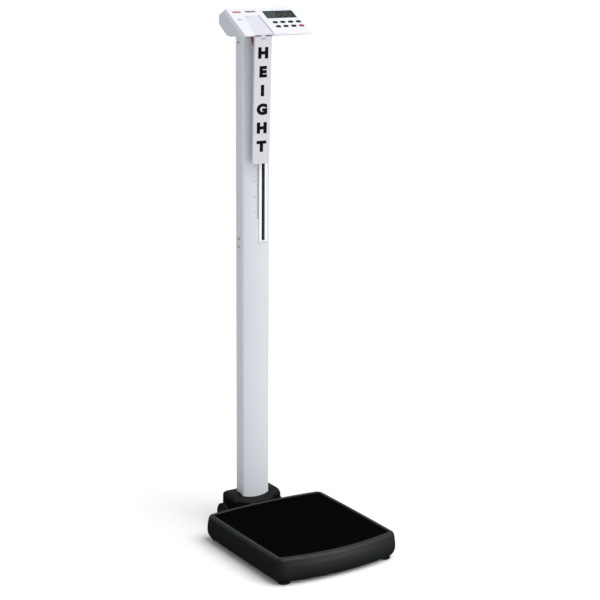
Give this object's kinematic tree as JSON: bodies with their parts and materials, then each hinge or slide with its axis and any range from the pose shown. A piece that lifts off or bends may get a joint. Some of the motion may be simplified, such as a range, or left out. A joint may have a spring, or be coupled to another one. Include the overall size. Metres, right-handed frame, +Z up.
{
  "type": "digital column scale with height rod",
  "caption": "Eye-level digital column scale: low platform, tall column with a sliding height rod and fold-out headpiece, tilted display head with keys, and rear transport wheels.",
  "frame": {"origin": "on the floor, under the middle of the whole outline", "axes": "+Z up; +X to the right of a person who faces the display; -Y towards that person"},
  "size_m": [0.456, 0.64, 1.6976],
  "materials": {
    "frame_steel": "black coat, satin",
    "deck_steel": "zinc plated",
    "cover_plastic": "dark greenish grey, fine grain",
    "mat_rubber": "black, matt, fine ribs",
    "cell_aluminium": "machined",
    "foot_rubber": "black",
    "zinc_steel": "zinc plated",
    "axle_steel": "black oxide",
    "cable_jacket": "satin",
    "circuit_board": "solder mask",
    "hub_plastic": "satin",
    "column_coat": "pale grey powder coat",
    "track_plastic": "white, satin",
    "glide_plastic": "natural nylon",
    "head_plastic": "white, fine grain",
    "head_rear_plastic": "pale grey, fine grain",
    "lcd_clear": "clear",
    "lcd_panel": "grey green",
    "black_plastic": "satin",
    "battery_metal": "wrapped cell",
    "key_dark": "soft satin",
    "key_red": "soft satin",
    "rod_aluminium": "anodised",
    "cap_plastic": "pale, fine grain",
    "bracket_red": "dark red",
    "headpiece_plastic": "pale grey, satin"
  },
  "bodies": {
    "base": {"base_frame": "frame_steel", "base_deck": "deck_steel", "platform_cover": "cover_plastic", "platform_mat": "mat_rubber", "load_cell_front_left": "cell_aluminium", "load_cell_front_right": "cell_aluminium", "load_cell_rear_left": "cell_aluminium", "load_cell_rear_right": "cell_aluminium", "foot_front_left": "foot_rubber", "foot_front_right": "foot_rubber", "foot_rear_left": "foot_rubber", "foot_rear_right": "foot_rubber", "load_cell_bolts": "zinc_steel", "load_cell_leads": "cable_jacket", "junction_board": "circuit_board", "wheel_axle": "axle_steel", "axle_clips": "axle_steel", "column_socket": "cover_plastic", "column_foot": "frame_steel", "column_foot_bolts": "zinc_steel", "lower_column": "column_coat", "column_splice": "zinc_steel", "upper_column": "column_coat", "track_insert": "track_plastic", "column_screws": "zinc_steel", "rod_bush": "glide_plastic", "signal_cable": "cable_jacket", "head_front": "head_plastic", "head_rear": "head_rear_plastic", "head_bracket": "zinc_steel", "head_screws": "zinc_steel", "lcd_window": "lcd_clear", "lcd_module": "lcd_panel", "main_board": "circuit_board", "key_switches": "black_plastic", "battery_holder": "black_plastic", "batteries": "battery_metal", "dc_jack": "black_plastic"},
    "wheel_left": {"wheel_hub_left": "hub_plastic", "wheel_tyre_left": "foot_rubber"},
    "wheel_right": {"wheel_hub_right": "hub_plastic", "wheel_tyre_right": "foot_rubber"},
    "battery_door": {"battery_door": "head_rear_plastic"},
    "key_units": {"key_units": "key_dark"},
    "key_hold": {"key_hold": "key_dark"},
    "key_net": {"key_net": "key_dark"},
    "key_index": {"key_index": "key_dark"},
    "key_print": {"key_print": "key_dark"},
    "key_tare": {"key_tare": "key_dark"},
    "key_zero": {"key_zero": "key_dark"},
    "key_power": {"key_power": "key_red"},
    "height_rod": {"height_rod": "rod_aluminium", "rod_glide": "glide_plastic", "rod_cap": "cap_plastic", "hinge_bracket": "bracket_red", "height_pointer": "black_plastic"},
    "headpiece": {"headpiece": "headpiece_plastic", "headpiece_pin": "zinc_steel", "headpiece_bumper": "mat_rubber"}
  },
  "joints": [
    {"name": "rod_slide", "type": "slide", "parent": "base", "child": "height_rod", "axis": [0, 0, 1], "range_m": [0, 0.5]},
    {"name": "headpiece_hinge", "type": "hinge", "parent": "height_rod", "child": "headpiece", "pos_m": [0, 0.17, 1.614], "axis": [-1, 0, 0], "range_deg": [0, 92]},
    {"name": "wheel_left_spin", "type": "hinge", "parent": "base", "child": "wheel_left", "pos_m": [-0.1035, 0.246, 0.037], "axis": [1, 0, 0], "continuous": true},
    {"name": "wheel_right_spin", "type": "hinge", "parent": "base", "child": "wheel_right", "pos_m": [0.1035, 0.246, 0.037], "axis": [1, 0, 0], "continuous": true},
    {"name": "battery_door_slide", "type": "slide", "parent": "base", "child": "battery_door", "axis": [1, 0, 0], "range_m": [0, 0.118]},
    {"name": "key_units_press", "type": "slide", "parent": "base", "child": "key_units", "axis": [0, 0.515, -0.8572], "range_m": [0, 0.0012], "stiffness_N_per_m": 200},
    {"name": "key_hold_press", "type": "slide", "parent": "base", "child": "key_hold", "axis": [0, 0.515, -0.8572], "range_m": [0, 0.0012], "stiffness_N_per_m": 200},
    {"name": "key_net_press", "type": "slide", "parent": "base", "child": "key_net", "axis": [0, 0.515, -0.8572], "range_m": [0, 0.0012], "stiffness_N_per_m": 200},
    {"name": "key_index_press", "type": "slide", "parent": "base", "child": "key_index", "axis": [0, 0.515, -0.8572], "range_m": [0, 0.0012], "stiffness_N_per_m": 200},
    {"name": "key_print_press", "type": "slide", "parent": "base", "child": "key_print", "axis": [0, 0.515, -0.8572], "range_m": [0, 0.0012], "stiffness_N_per_m": 200},
    {"name": "key_tare_press", "type": "slide", "parent": "base", "child": "key_tare", "axis": [0, 0.515, -0.8572], "range_m": [0, 0.0012], "stiffness_N_per_m": 200},
    {"name": "key_zero_press", "type": "slide", "parent": "base", "child": "key_zero", "axis": [0, 0.515, -0.8572], "range_m": [0, 0.0012], "stiffness_N_per_m": 200},
    {"name": "key_power_press", "type": "slide", "parent": "base", "child": "key_power", "axis": [0, 0.515, -0.8572], "range_m": [0, 0.0012], "stiffness_N_per_m": 200}
  ]
}
